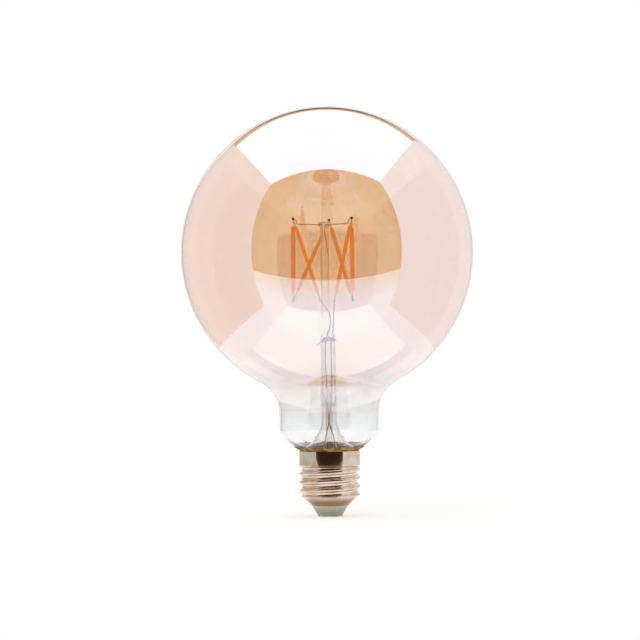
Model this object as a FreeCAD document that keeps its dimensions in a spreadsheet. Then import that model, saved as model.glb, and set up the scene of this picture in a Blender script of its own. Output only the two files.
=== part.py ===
import FreeCAD, Part
import math
import os
import Sketcher

# Gold-coated filament globe bulb with an E27 screw cap.
# Millimetres, +Z up. The origin is the middle of the cap's bottom contact, the axis is Z, -Y is the front.

# Driving dimensions
SIZES = {
    # glass ball, neck and mouth
    "globe_diameter": 125.2,
    "glass_wall": 0.8,
    "shoulder_radius": 15.0,
    "neck_diameter": 42.4,
    "neck_top_height": 44.26,
    "neck_foot_radius": 5.5,
    "taper_rise": 4.8,
    "taper_run": 5.1,
    "lip_rise": 1.15,
    "lip_run": 2.2,
    # glass stem inside the ball
    "stem_diameter": 6.4,
    "stem_bore": 4.8,
    "flare_arc_radius": 16.0,
    "flare_wall": 0.8,
    "stem_top_height": 77.0,
    "stem_dome_rise": 2.5,
    "press_width": 7.4,
    "press_depth": 3.7,
    "press_offset": 0.5,
    "press_lift": 1.0,
    "press_height": 7.0,
    "press_round": 1.2,
    "column_diameter": 3.5,
    "column_offset": 1.0,
    "button_diameter": 5.4,
    "button_height": 2.2,
    "button_round": 0.7,
    "hub_drop": 2.4,
    "exhaust_diameter": 3.2,
    "exhaust_bore": 2.0,
    "exhaust_bottom_height": 14.0,
    "exhaust_length": 38.0,
    # crown of six filaments
    "crown_radius": 14.5,
    "crown_offset": 0.9,
    "crown_lift": 7.4,
    "filament_length": 29.6,
    "filament_width": 1.75,
    "filament_thickness": 1.3,
    "filament_round": 0.5,
    "pin_diameter": 0.34,
    "pin_reach": 2.7,
    "bead_diameter": 1.2,
    "support_diameter": 0.4,
    "support_bend": 1.0,
    "hook_reach": 1.6,
    "hook_drop": 0.8,
    "lead_diameter": 0.5,
    "lead_bend": 3.0,
    "lead_gap": 0.3,
    "lead_spread": 4.2,
    "lead_lap": 1.8,
    "tie_diameter": 0.45,
    "tie_drop": 1.6,
    # where each weld of the crown stands around the axis, in degrees from +X
    "top_left_angle": 202.4,
    "top_back_angle": 82.4,
    "top_right_angle": 322.4,
    "bottom_left_angle": 163.0,
    "bottom_back_angle": 35.0,
    "bottom_front_angle": 261.3,
    "bottom_right_angle": 285.0,
    # screw cap
    "cap_height": 28.1,
    "skirt_diameter": 26.24,
    "thread_crest_diameter": 26.2,
    "thread_root_diameter": 24.1,
    "thread_pitch": 3.629,
    "thread_land": 0.12,
    "thread_start_height": 5.57,
    "thread_run_out": 1.98,
    "run_in": 0.5,
    "skirt_height": 6.0,
    "cone_top_height": 8.6,
    "cone_bottom_height": 4.7,
    "cone_bottom_diameter": 15.9,
    "shell_wall": 0.3,
    "contact_diameter": 10.7,
    "contact_height": 0.6,
    "insulator_thickness": 1.6,
    "eyelet_diameter": 2.6,
    "eyelet_bore": 1.8,
    "solder_height": 2.4,
    "cement_gap": 0.42,
    "cement_depth": 5.2,
    "fit": 0.05,
    # driver in the cap
    "board_width": 16.0,
    "board_headroom": 2.6,
    "board_thickness": 1.0,
    "board_setback": 2.6,
    "capacitor_diameter": 6.3,
    "capacitor_length": 9.0,
    "capacitor_groove": 0.3,
    "capacitor_lift": 2.9,
    "chip_width": 4.8,
    "chip_height": 3.9,
    "chip_depth": 1.5,
    "chip_margin": 0.7,
    "bridge_lift": 1.2,
    "chip_lift": 7.0,
    "leg_width": 0.4,
    "leg_thickness": 0.25,
    "leg_length": 0.9,
    "fuse_diameter": 2.8,
    "fuse_length": 7.0,
    "fuse_offset": 0.9,
    "fuse_lift": 2.4,
    "resistor_length": 1.6,
    "resistor_height": 0.8,
    "resistor_thickness": 0.6,
    "resistor_pitch": 2.4,
    "resistor_lift": 3.0,
    "wire_diameter": 0.6,
    "wire_bend": 1.5,
    "live_offset": 4.0,
    "live_lap": 3.4,
    "neutral_offset": 6.0,
    "neutral_lift": 7.0,
}

# The welds of the crown; the front and right ones below also hold the leads
TOP_WELDS = ("left", "back", "right")
BOTTOM_WELDS = ("left", "back", "front", "right")

# Each filament runs from a top weld to a bottom weld; they are wired one after the other
FILAMENTS = [
    ("left", "front"),
    ("left", "left"),
    ("back", "left"),
    ("back", "back"),
    ("right", "back"),
    ("right", "right"),
]

# Where each end of the tie's twist leaves its ring, in degrees, and how it points
TIE_TAILS = {"left": (196.0, (-2.0, -0.7, -1.6)), "right": (344.0, (1.3, -0.5, -0.9))}

Y_AXIS = FreeCAD.Vector(0, 1, 0)
Z_AXIS = FreeCAD.Vector(0, 0, 1)


class Size:
    """A number and the spreadsheet expression that gives it, so that a sketch can be bound to it."""

    def __init__(self, number, text):
        self.number = number
        self.text = text

    def __float__(self):
        return self.number

    def __add__(self, other):
        other = as_size(other)
        return Size(self.number + other.number, f"({self.text} + {other.text})")

    def __sub__(self, other):
        other = as_size(other)
        return Size(self.number - other.number, f"({self.text} - {other.text})")

    def __mul__(self, other):
        other = as_size(other)
        return Size(self.number * other.number, f"({self.text} * {other.text})")

    def __truediv__(self, other):
        other = as_size(other)
        return Size(self.number / other.number, f"({self.text} / {other.text})")

    def __neg__(self):
        return Size(-self.number, f"(0 - {self.text})")


def as_size(value):
    return value if isinstance(value, Size) else Size(float(value), repr(float(value)))


def root(value):
    return Size(math.sqrt(value.number), f"sqrt({value.text})")


doc = FreeCAD.newDocument("globe_bulb")
sheet = doc.addObject("Spreadsheet::Sheet", "Sizes")
for row, (name, number) in enumerate(SIZES.items(), start=1):
    sheet.set(f"A{row}", name)
    sheet.set(f"B{row}", str(number))
    sheet.setAlias(f"B{row}", name)
doc.recompute()


def size(name):
    return Size(float(sheet.get(name)), f"Sizes.{name}")


def vector(x, y, z):
    return FreeCAD.Vector(float(x), float(y), float(z))


def origin_part(body, role):
    return next(item for item in body.Origin.OriginFeatures if item.Role == role)


def new_body(name):
    body = doc.addObject("PartDesign::Body", name)
    body.Label = name
    return body


def new_sketch(body, name, role="XZ_Plane", offset=None):
    """Start a sketch on one of the body's own planes, raised by offset along the plane's normal."""
    sketch = body.newObject("Sketcher::SketchObject", name)
    sketch.AttachmentSupport = [(origin_part(body, role), "")]
    sketch.MapMode = "FlatFace"
    if offset is not None:
        sketch.setExpression(".AttachmentOffset.Base.z", offset.text)
    return sketch


def bind(sketch, constraint, size_text):
    index = sketch.addConstraint(constraint)
    sketch.setExpression(f"Constraints[{index}]", size_text)


def pin_point(sketch, edge, end, x, y):
    """Hold a corner at x, y from the sketch's origin."""
    for kind, value, axis in (("DistanceX", x, -2), ("DistanceY", y, -1)):
        if value.number == 0.0:
            sketch.addConstraint(Sketcher.Constraint("PointOnObject", edge, end, axis))
        else:
            bind(sketch, Sketcher.Constraint(kind, -1, 1, edge, end, value.number), value.text)


def arc_between(start, end, radius, bulge):
    """The arc from start to end that bulges to the left (1) or right (-1) of the way along."""
    chord = end - start
    half = chord.Length / 2
    across = FreeCAD.Vector(-chord.y, chord.x, 0).normalize() * bulge
    centre = (start + end) / 2 - across * math.sqrt(max(radius * radius - half * half, 0.0))
    angles = [math.atan2((p - centre).y, (p - centre).x) for p in (start, end)]
    first, last = angles if bulge < 0 else reversed(angles)
    return Part.ArcOfCircle(Part.Circle(centre, Z_AXIS, radius), first, last)


def draw_outline(sketch, corners):
    """Draw a closed outline. A corner is (x, y), or (x, y, radius, bulge) where an arc ends there."""
    corners = [(as_size(c[0]), as_size(c[1])) + tuple(c[2:]) for c in corners]
    places = [vector(c[0], c[1], 0) for c in corners]
    ends = []
    for index, corner in enumerate(corners):
        before = places[index - 1]
        if len(corner) == 4:
            arc = arc_between(before, places[index], float(corner[2]), corner[3])
            edge = sketch.addGeometry(arc, False)
            ends.append((edge, (1, 2) if corner[3] < 0 else (2, 1)))
            bind(sketch, Sketcher.Constraint("Radius", edge, float(corner[2])), corner[2].text)
        else:
            edge = sketch.addGeometry(Part.LineSegment(before, places[index]), False)
            ends.append((edge, (1, 2)))
    for index, corner in enumerate(corners):
        edge, (_, last) = ends[index]
        follower, (first, _) = ends[(index + 1) % len(ends)]
        sketch.addConstraint(Sketcher.Constraint("Coincident", edge, last, follower, first))
        pin_point(sketch, edge, last, corner[0], corner[1])


def draw_rounded(sketch, left, right, bottom, top, corner):
    """Draw a rectangle with rounded corners."""
    draw_outline(
        sketch,
        [
            (left, bottom + corner, corner, 1),
            (left, top - corner),
            (left + corner, top, corner, 1),
            (right - corner, top),
            (right, top - corner, corner, 1),
            (right, bottom + corner),
            (right - corner, bottom, corner, 1),
            (left + corner, bottom),
        ],
    )


def draw_circle(sketch, x, y, diameter):
    edge = sketch.addGeometry(Part.Circle(vector(x, y, 0), Z_AXIS, float(diameter) / 2), False)
    pin_point(sketch, edge, 3, as_size(x), as_size(y))
    bind(sketch, Sketcher.Constraint("Diameter", edge, float(diameter)), diameter.text)


def revolve(body, name, corners):
    sketch = new_sketch(body, f"{name}_outline")
    draw_outline(sketch, corners)
    turned = body.newObject("PartDesign::Revolution", name)
    turned.Profile = sketch
    turned.ReferenceAxis = (origin_part(body, "Z_Axis"), [""])
    turned.Angle = 360
    doc.recompute()
    return turned


def pad(body, name, sketch, length, midplane=False):
    raised = body.newObject("PartDesign::Pad", name)
    raised.Profile = sketch
    raised.setExpression("Length", length.text)
    if midplane:
        raised.SideType = "Symmetric"
    doc.recompute()
    return raised


def revolved_body(name, corners):
    body = new_body(name)
    revolve(body, f"{name}_turn", corners)
    return body


# Sizes that several pieces share
wall = size("glass_wall")
globe_radius = size("globe_diameter") / 2
neck_radius = size("neck_diameter") / 2
# The shoulder's arc touches both ball and neck, so the ball's height follows from their radii
shoulder_span = globe_radius + size("shoulder_radius")
shoulder_reach = neck_radius + size("shoulder_radius")
globe_lift = root(shoulder_span * shoulder_span - shoulder_reach * shoulder_reach)
globe_centre = size("neck_top_height") + globe_lift
cap_height = size("cap_height")
shell_wall = size("shell_wall")
skirt_radius = size("skirt_diameter") / 2
fit = size("fit")
mouth_radius = skirt_radius - shell_wall - size("cement_gap")
seal_bottom = cap_height - size("cement_depth")
lip_height = cap_height + fit * 5
# The stem widens to the mouth in one arc; where that arc meets the rim sets where the tube starts
stem_radius = size("stem_diameter") / 2
stem_bore_radius = size("stem_bore") / 2
rim_radius = mouth_radius - wall
flare_arc = size("flare_arc_radius")
flare_reach = stem_radius + flare_arc - rim_radius
tube_bottom = lip_height + root(flare_arc * flare_arc - flare_reach * flare_reach)
# What stands on the tube is placed from its top upwards
tube_top = size("stem_top_height")
press_bottom = tube_top + size("press_lift")
press_top = press_bottom + size("press_height")
crown_bottom = press_top + size("crown_lift")
crown_top = crown_bottom + size("filament_length") + size("pin_reach") * 2
hub_height = crown_top - size("hub_drop")


def globe_outline(inset):
    """Half section of the blown glass from its mouth to its top, inset from the outside."""
    ball = globe_radius - inset
    shoulder = size("shoulder_radius") + inset
    neck = neck_radius - inset
    foot = size("neck_foot_radius") - inset
    slope = root(size("taper_run") * size("taper_run") + size("taper_rise") * size("taper_rise"))
    taper_sin = size("taper_rise") / slope
    taper_cos = size("taper_run") / slope
    # Ball and shoulder meet on the line between their centres
    touch = ball / shoulder_span
    touch_r = shoulder_reach * touch
    touch_z = globe_centre - globe_lift * touch
    # The straight taper leaves the lip, and a rounded foot turns it up into the neck
    lip_r = mouth_radius + size("lip_run") - inset * taper_sin
    lip_z = lip_height + size("lip_rise") + inset * taper_cos
    foot_r = neck - foot * (as_size(1) - taper_sin)
    foot_z = lip_z + (foot_r - lip_r) * size("taper_rise") / size("taper_run")
    return [
        (mouth_radius - inset, seal_bottom),
        (mouth_radius - inset, lip_height + inset),
        (lip_r, lip_z),
        (foot_r, foot_z),
        (neck, foot_z + foot * taper_cos, foot, -1),
        (neck, size("neck_top_height")),
        (touch_r, touch_z, shoulder, 1),
        (as_size(0), globe_centre + ball, ball, -1),
    ]


def glass_globe():
    """One blown piece: ball, shoulder, neck and the mouth that is sealed to the stem inside the cap."""
    outside = globe_outline(as_size(0))
    inside = globe_outline(wall)
    # The inner line is walked back from the top, so each arc goes to the corner where it began
    back = [inside[-1][:2]]
    for here, after in zip(reversed(inside[:-1]), reversed(inside)):
        back.append(here[:2] + ((after[2], -after[3]) if len(after) == 4 else ()))
    return revolved_body("glass_globe", outside + back)


def stem_blank():
    """The flared tube with its closed top, the flat press, the column and the button that holds wires."""
    body = new_body("stem_blank")
    flare_wall = size("flare_wall")
    inner_rim = rim_radius - flare_wall
    inner_arc = flare_arc + flare_wall
    inner_reach = stem_bore_radius + inner_arc - inner_rim
    inner_start = tube_bottom - root(inner_arc * inner_arc - inner_reach * inner_reach)
    dome = size("stem_dome_rise")
    column_radius = size("column_diameter") / 2
    revolve(
        body,
        "flare_and_tube",
        [
            (rim_radius, seal_bottom),
            (rim_radius, lip_height),
            (stem_radius, tube_bottom, flare_arc, 1),
            (stem_radius, tube_top),
            (column_radius, tube_top + dome, stem_radius, -1),
            (0, tube_top + dome),
            (0, tube_top),
            (stem_bore_radius, tube_top - stem_bore_radius, stem_bore_radius, 1),
            (stem_bore_radius, tube_bottom),
            (inner_rim, inner_start, inner_arc, -1),
            (inner_rim, seal_bottom),
        ],
    )
    # The press is pinched flat around both leads, further out on the leads' side
    sketch = new_sketch(body, "press_outline")
    half = size("press_width") / 2
    offset = size("press_offset")
    draw_rounded(sketch, -half - offset, half - offset, press_bottom, press_top, size("press_round"))
    pad(body, "press", sketch, size("press_depth"), midplane=True)
    column_foot = press_top - size("press_round")
    button_height = size("button_height")
    for name, start, length in (
        ("column", column_foot, hub_height - column_foot),
        ("button", hub_height - button_height / 2, button_height),
    ):
        sketch = new_sketch(body, f"{name}_circle", "XY_Plane", start)
        draw_circle(sketch, -size("column_offset"), 0, size(f"{name}_diameter"))
        pad(body, name, sketch, length)
    button = body.Tip
    edges = [
        f"Edge{index}"
        for index, edge in enumerate(button.Shape.Edges, start=1)
        if abs(edge.Length - math.pi * float(size("button_diameter"))) < 1e-6
    ]
    rounded = body.newObject("PartDesign::Fillet", "button_edges")
    rounded.Base = (button, edges)
    rounded.setExpression("Radius", size("button_round").text)
    doc.recompute()
    return body


def unit_along(start, end):
    return (end - start).normalize()


def standing_on(place, direction):
    """The placement that stands a piece on place with its Z along direction."""
    return FreeCAD.Placement(place, FreeCAD.Rotation(Z_AXIS, direction))


def compound(name, pieces):
    group = doc.addObject("Part::Compound", name)
    group.Links = pieces
    group.Label = name
    return group


def cut(name, base, tool):
    result = doc.addObject("Part::Cut", name)
    result.Base = base
    result.Tool = tool
    result.Label = name
    return result


def cylinder(name, diameter, length, placement):
    piece = doc.addObject("Part::Cylinder", name)
    piece.setExpression("Radius", (diameter / 2).text)
    piece.setExpression("Height", length.text)
    piece.Placement = placement
    return piece


def box(name, sizes, corner):
    """A block with its lowest corner at corner, all bound to the sheet."""
    piece = doc.addObject("Part::Box", name)
    for key, value in zip(("Length", "Width", "Height"), sizes):
        piece.setExpression(key, as_size(value).text)
    for key, value in zip("xyz", corner):
        piece.setExpression(f"Placement.Base.{key}", as_size(value).text)
    return piece


def bent_wire(name, points, diameter, bend):
    """A round wire along points, with tangent arcs of radius bend, or as large as its runs allow."""
    radius = float(diameter) / 2
    bend = float(bend)
    edges = []
    start = points[0]
    length = 0.0
    for here, middle, after in zip(points, points[1:], points[2:]):
        into = unit_along(here, middle)
        out = unit_along(middle, after)
        turn = into.getAngle(out)
        shorter = min((middle - here).Length, (after - middle).Length)
        arc_radius = min(bend, 0.45 * shorter / math.tan(turn / 2))
        trim = arc_radius * math.tan(turn / 2)
        first = middle - into * trim
        last = middle + out * trim
        inward = (out - into).normalize()
        crown = middle + inward * (arc_radius / math.cos(turn / 2) - arc_radius)
        edges.append(Part.LineSegment(start, first).toShape())
        edges.append(Part.Arc(first, crown, last).toShape())
        length += (first - start).Length + arc_radius * turn
        start = last
    edges.append(Part.LineSegment(start, points[-1]).toShape())
    length += (points[-1] - start).Length
    path = Part.Wire(edges)
    section = Part.Wire([Part.Circle(points[0], unit_along(points[0], points[1]), radius).toShape()])
    shape = path.makePipeShell([section], True, False)
    expected = math.pi * radius**2 * length
    if abs(shape.Volume - expected) > 0.01 * expected:
        raise RuntimeError(f"{name}: the swept volume {shape.Volume:.3f} is not {expected:.3f}")
    piece = doc.addObject("Part::Feature", name)
    piece.Shape = shape
    return piece


def crown_point(angle, height):
    turn = math.radians(float(angle))
    reach = float(size("crown_radius"))
    return vector(reach * math.cos(turn) - float(size("crown_offset")), reach * math.sin(turn), height)


tops = {name: crown_point(size(f"top_{name}_angle"), crown_top) for name in TOP_WELDS}
bottoms = {name: crown_point(size(f"bottom_{name}_angle"), crown_bottom) for name in BOTTOM_WELDS}


def weld_beads():
    """The beads of all welds. Their poles lie along X and their seams face away from the pins."""
    beads = []
    for side, places in ((-90, tops), (90, bottoms)):
        for place in places.values():
            bead = doc.addObject("Part::Sphere", "weld_bead")
            bead.setExpression("Radius", (size("bead_diameter") / 2).text)
            bead.Placement = FreeCAD.Placement(place, FreeCAD.Rotation(Y_AXIS, side))
            beads.append(bead)
    return compound("weld_beads", beads)


def filament(index, top, bottom, beads):
    """A coated LED strip between two welds, and the bare pin at each of its ends."""
    down = unit_along(top, bottom)
    span = (bottom - top).Length
    length = size("filament_length")
    bare = (span - float(length)) / 2
    body = new_body(f"filament_{index}")
    sketch = new_sketch(body, f"strip_section_{index}", "XY_Plane")
    side = size("filament_width") / 2
    front = size("filament_thickness") / 2
    draw_rounded(sketch, -side, side, -front, front, size("filament_round"))
    pad(body, f"strip_{index}", sketch, length)
    body.Placement = standing_on(top + down * bare, down)
    pins = [
        cylinder(
            f"pin_{index}_{name}",
            size("pin_diameter"),
            Size(bare, f"(({span!r} - Sizes.filament_length) / 2)"),
            standing_on(place, down),
        )
        for name, place in (("top", top), ("bottom", top + down * (bare + float(length))))
    ]
    pair = compound(f"pin_pair_{index}", pins)
    return body, cut(f"filament_pins_{index}", pair, beads)


def support_wire(index, top, beads):
    """From inside the glass button straight out, up beside a top weld, and over into it as a hook."""
    hub = vector(-size("column_offset"), 0, hub_height)
    flat = vector(top.x, top.y, hub_height)
    outward = unit_along(hub, flat)
    # The wire's end is set well inside the glass
    root_point = hub + outward * (float(size("button_diameter")) / 5)
    riser = flat - outward * float(size("hook_reach"))
    crook = riser + Z_AXIS * (top.z - float(hub_height) - float(size("hook_drop")))
    route = [root_point, riser, crook, top]
    wire = bent_wire(f"support_run_{index}", route, size("support_diameter"), size("support_bend"))
    return cut(f"support_wire_{index}", wire, beads)


def exhaust_tube():
    """The thin tube through which the ball was filled; it touches the back of the stem's bore."""
    body = new_body("exhaust_tube")
    outer = size("exhaust_diameter") / 2
    inner = size("exhaust_bore") / 2
    tip = inner / 2
    bottom = size("exhaust_bottom_height")
    top = bottom + size("exhaust_length")
    revolve(
        body,
        "tube_turn",
        [
            (0, bottom),
            (tip, bottom),
            (outer, bottom + outer - tip, outer - tip, -1),
            (outer, top),
            (inner, top),
            (inner, bottom + outer),
            (0, bottom + outer),
        ],
    )
    body.setExpression("Placement.Base.y", (stem_bore_radius - outer).text)
    return body


def up_tube(share):
    """A height in the stem's straight tube, as a share of the way up it."""
    return float(tube_bottom + (tube_top - tube_bottom) * share)


def lead_points():
    """The routes of both leads, from their welds through the press and the stem to the board."""
    radius = float(size("lead_diameter")) / 2
    gap = float(size("lead_gap"))
    spread = float(size("lead_spread"))
    # They pass in front of the column and go down into the press on either side of its middle
    beside = radius + float(size("column_diameter") / 2 - size("column_offset")) + gap / 3
    apart = beside + radius * 2 + gap * 3
    over_press = float(press_top) + 1.6
    in_press = float(press_top) - float(size("press_height")) * 0.43
    under_press = float(tube_top) - float(stem_bore_radius) * 1.25
    # In the tube they wander in front of the exhaust tube, one behind the other where they cross
    inside = float(stem_bore_radius) - radius
    lane = float(stem_bore_radius - size("exhaust_diameter")) - radius - gap
    second_lane = lane - radius * 2 - gap / 2
    over_seal = float(lip_height) + 2.65
    lie = -float(size("board_setback") + size("board_thickness")) - radius
    ends = (board_top + 2.0, board_top - size("lead_lap"))
    left = [
        bottoms["front"],
        vector(beside, -gap, over_press),
        vector(beside, 0, in_press),
        vector(-inside * 0.55, 0, under_press),
        vector(-inside * 0.62, -inside * 0.15, up_tube(0.68)),
        vector(-inside * 0.37, -inside * 0.45, up_tube(0.39)),
        vector(-inside * 0.23, -inside * 0.65, up_tube(0.13)),
        vector(-inside * 0.05, lane, up_tube(-0.05)),
        vector(spread * 0.57, -inside * 1.2, over_seal),
        *(vector(spread, lie, height) for height in ends),
    ]
    right = [
        bottoms["right"],
        vector(apart, -gap, over_press),
        vector(apart, 0, in_press),
        vector(inside * 0.55, 0, under_press),
        vector(inside * 0.6, -inside * 0.1, up_tube(0.57)),
        vector(inside * 0.42, -inside * 0.62, up_tube(0.19)),
        vector(0, second_lane, up_tube(-0.05)),
        vector(-spread * 0.48, -inside * 1.5, over_seal),
        *(vector(-spread, lie, height) for height in ends),
    ]
    return left, right


def lead_wires(beads):
    wires = []
    for side, route in zip(("left", "right"), lead_points()):
        wire = bent_wire(f"lead_run_{side}", route, size("lead_diameter"), size("lead_bend"))
        wires.append(cut(f"lead_wire_{side}", wire, beads))
    return wires


def stem_tie():
    """A wire ring round the top of the tube, with the two ends of its twist left long."""
    thickness = size("tie_diameter")
    ring_radius = stem_radius + thickness / 2
    height = tube_top - size("tie_drop")
    ring = doc.addObject("Part::Torus", "tie_ring")
    ring.setExpression("Radius1", ring_radius.text)
    ring.setExpression("Radius2", (thickness / 2).text)
    ring.setExpression("Placement.Base.z", height.text)
    reach = float(ring_radius)
    tails = []
    for name, (angle, along) in TIE_TAILS.items():
        turn = math.radians(angle)
        start = vector(reach * math.cos(turn), reach * math.sin(turn), height)
        run = vector(*along)
        tails.append(
            cylinder(f"tie_tail_{name}", thickness, as_size(run.Length), standing_on(start, run))
        )
    tie = doc.addObject("Part::MultiFuse", "stem_tie")
    tie.Shapes = [ring, *tails]
    tie.Label = "stem_tie"
    return tie


# Sizes of the cap that its own pieces share
crest_radius = size("thread_crest_diameter") / 2
root_radius = size("thread_root_diameter") / 2
cone_bottom = size("cone_bottom_height")
cone_radius = size("cone_bottom_diameter") / 2
cone_run = root_radius - cone_radius
cone_rise = size("cone_top_height") - cone_bottom
cone_length = root(cone_run * cone_run + cone_rise * cone_rise)
skirt_bottom = cap_height - size("skirt_height")
contact_radius = size("contact_diameter") / 2
eyelet_radius = size("eyelet_diameter") / 2
cone_floor = cone_bottom + size("insulator_thickness")
board_top = seal_bottom - size("board_headroom")


def thread_ridge(body, name, inset):
    """Draw one ridge of the round knuckle thread: a crest arc between two root arcs, all tangent."""
    depth = crest_radius - root_radius
    half = size("thread_pitch") / 2 - size("thread_land")
    arc = (half * half + depth * depth) / (depth * 4)
    middle = size("thread_start_height")
    touch = (arc - inset) / (arc * 2)
    touch_r = crest_radius - arc + (root_radius + arc - crest_radius + arc) * touch
    touch_z = half * touch
    base = root_radius - inset
    sketch = new_sketch(body, f"{name}_outline")
    draw_outline(
        sketch,
        [
            (base - size("shell_wall"), middle - half),
            (base, middle - half),
            (touch_r, middle - touch_z, arc + inset, 1),
            (touch_r, middle + touch_z, arc - inset, -1),
            (base, middle + half, arc + inset, 1),
            (base - size("shell_wall"), middle + half),
        ],
    )
    ridge = body.newObject("PartDesign::AdditiveHelix", name)
    ridge.Profile = sketch
    ridge.ReferenceAxis = (origin_part(body, "Z_Axis"), [""])
    ridge.Mode = 0
    ridge.setExpression("Pitch", size("thread_pitch").text)
    ridge.setExpression("Height", (skirt_bottom + size("thread_run_out") - middle).text)
    ridge.LeftHanded = False
    ridge.Reversed = False
    doc.recompute()


def cap_form(name, inset, overrun):
    """The solid that fills the cap to its outside, or to its inside when inset by the sheet."""
    body = new_body(name)
    low = cone_bottom - overrun
    cone_inset = inset * cone_length / cone_rise
    knee = cone_bottom + cone_rise + inset * (cone_length - cone_rise) / cone_run
    bevel = skirt_radius - root_radius
    shift = inset * (math.sqrt(2) - 1)
    low_radius = cone_radius - cone_inset - overrun * cone_run / cone_rise
    revolve(
        body,
        f"{name}_turn",
        [
            (0, low),
            (low_radius, low),
            (root_radius - inset, knee),
            (root_radius - inset, skirt_bottom + shift - bevel),
            (skirt_radius - inset, skirt_bottom + shift),
            (skirt_radius - inset, cap_height + overrun),
            (0, cap_height + overrun),
        ],
    )
    thread_ridge(body, f"{name}_ridge", inset)
    # The thread starts below the cone's top and grows out of it: what stands outside the run-in is cut away
    clear = crest_radius + size("run_in")
    slant = size("run_in") / (crest_radius - root_radius)
    under_thread = size("thread_start_height") - size("thread_pitch") - overrun
    sketch = new_sketch(body, f"{name}_run_in_outline")
    draw_outline(
        sketch,
        [
            (low_radius, low),
            (low_radius, under_thread),
            (clear, under_thread),
            (clear, knee + (clear - root_radius + inset) * slant),
            (root_radius - inset, knee),
        ],
    )
    before = body.Tip.Shape.Volume
    run_in = body.newObject("PartDesign::Groove", f"{name}_run_in")
    run_in.Profile = sketch
    run_in.ReferenceAxis = (origin_part(body, "Z_Axis"), [""])
    run_in.Angle = 360
    doc.recompute()
    if run_in.Shape.Volume >= before:
        raise RuntimeError(f"{name}: the thread's run-in cut nothing")
    return body


def cap_shell():
    """Rolled sheet: the same wall follows the cone, the knuckle thread and the skirt."""
    outside = cap_form("cap_outside", as_size(0), as_size(0))
    inside = cap_form("cap_inside", shell_wall, as_size(1))
    return cut("cap_shell", outside, inside)


def cap_insulator():
    """Moulded cone between shell and contact; it grips the inside of the shell's cone."""
    inner = cone_radius - shell_wall * cone_length / cone_rise
    return revolved_body(
        "cap_insulator",
        [
            (eyelet_radius, size("contact_height")),
            (contact_radius, size("contact_height")),
            (cone_radius, cone_bottom),
            (inner, cone_bottom),
            (inner + size("insulator_thickness") * cone_run / cone_rise, cone_floor),
            (eyelet_radius, cone_floor),
        ],
    )


def centre_contact():
    """Pressed disc with the eyelet that passes up through the insulator."""
    bore = size("eyelet_bore") / 2
    height = size("contact_height")
    edge = height / 2
    return revolved_body(
        "centre_contact",
        [
            (bore, 0),
            (contact_radius - edge, 0),
            (contact_radius, edge, edge, -1),
            (contact_radius, height),
            (eyelet_radius, height),
            (eyelet_radius, cone_floor),
            (bore, cone_floor),
        ],
    )


def contact_solder():
    """Solder that fills the eyelet from below."""
    bore = size("eyelet_bore") / 2
    top = size("solder_height")
    return revolved_body("contact_solder", [(0, 0), (bore, 0), (bore, top), (0, top)])


def cement_ring():
    """Cement between the glass mouth and the skirt."""
    inner = skirt_radius - shell_wall
    return revolved_body(
        "cement_ring",
        [(mouth_radius, seal_bottom), (inner, seal_bottom), (inner, cap_height), (mouth_radius, cap_height)],
    )


def soldered_chip(name, face, bottom):
    """A moulded block on the front of the board, with four legs above it and four below."""
    left = -size("board_width") / 2 + size("chip_margin")
    width = size("chip_width")
    height = size("chip_height")
    depth = size("chip_depth")
    leg = (size("leg_width"), size("leg_thickness"), size("leg_length"))
    pieces = [box(f"{name}_block", (width, depth, height), (left, face - depth, bottom))]
    for index in range(4):
        leg_x = left + width * ((index + 0.5) / 4) - leg[0] / 2
        for end, leg_z in (("low", bottom - leg[2]), ("high", bottom + height)):
            pieces.append(box(f"{name}_leg_{end}_{index}", leg, (leg_x, face - leg[1], leg_z)))
    chip = doc.addObject("Part::MultiFuse", name)
    chip.Shapes = pieces
    chip.Label = name
    return chip


def driver_pieces():
    """The small board that stands on the insulator, and what is soldered to it."""
    width = size("board_width")
    thick = size("board_thickness")
    face = -size("board_setback") - thick
    board = box("driver_board", (width, thick, board_top - cone_floor), (-width / 2, face, cone_floor))
    board.Label = "driver_board"
    can = new_body("smoothing_capacitor")
    radius = size("capacitor_diameter") / 2
    groove = size("capacitor_groove")
    length = size("capacitor_length")
    collar = length - groove * 4
    revolve(
        can,
        "can_turn",
        [
            (0, 0),
            (radius, 0),
            (radius, collar - groove * 2),
            (radius - groove, collar - groove),
            (radius, collar),
            (radius, length),
            (radius - groove * 2, length),
            (0, length),
        ],
    )
    can.setExpression("Placement.Base.x", (size("board_width") / 4).text)
    can.setExpression("Placement.Base.y", (face - radius).text)
    can.setExpression("Placement.Base.z", (cone_floor + size("capacitor_lift")).text)
    chips = [
        soldered_chip("bridge_rectifier", face, cone_floor + size("bridge_lift")),
        soldered_chip("driver_chip", face, cone_floor + size("chip_lift")),
    ]
    fuse_place = vector(
        -size("fuse_offset"), face - size("fuse_diameter") / 2, cone_floor + size("fuse_lift")
    )
    fuse = cylinder(
        "fusible_resistor", size("fuse_diameter"), size("fuse_length"), standing_on(fuse_place, Z_AXIS)
    )
    fuse.Label = "fusible_resistor"
    block = (size("resistor_length"), size("resistor_thickness"), size("resistor_height"))
    first = cone_floor + size("resistor_lift")
    pitch = size("resistor_pitch")
    resistors = [
        box(f"chip_resistor_{index}", block, (0, -size("board_setback"), first + pitch * index))
        for index in range(3)
    ]
    return [board, can, *chips, fuse, compound("chip_resistors", resistors)]


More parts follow.
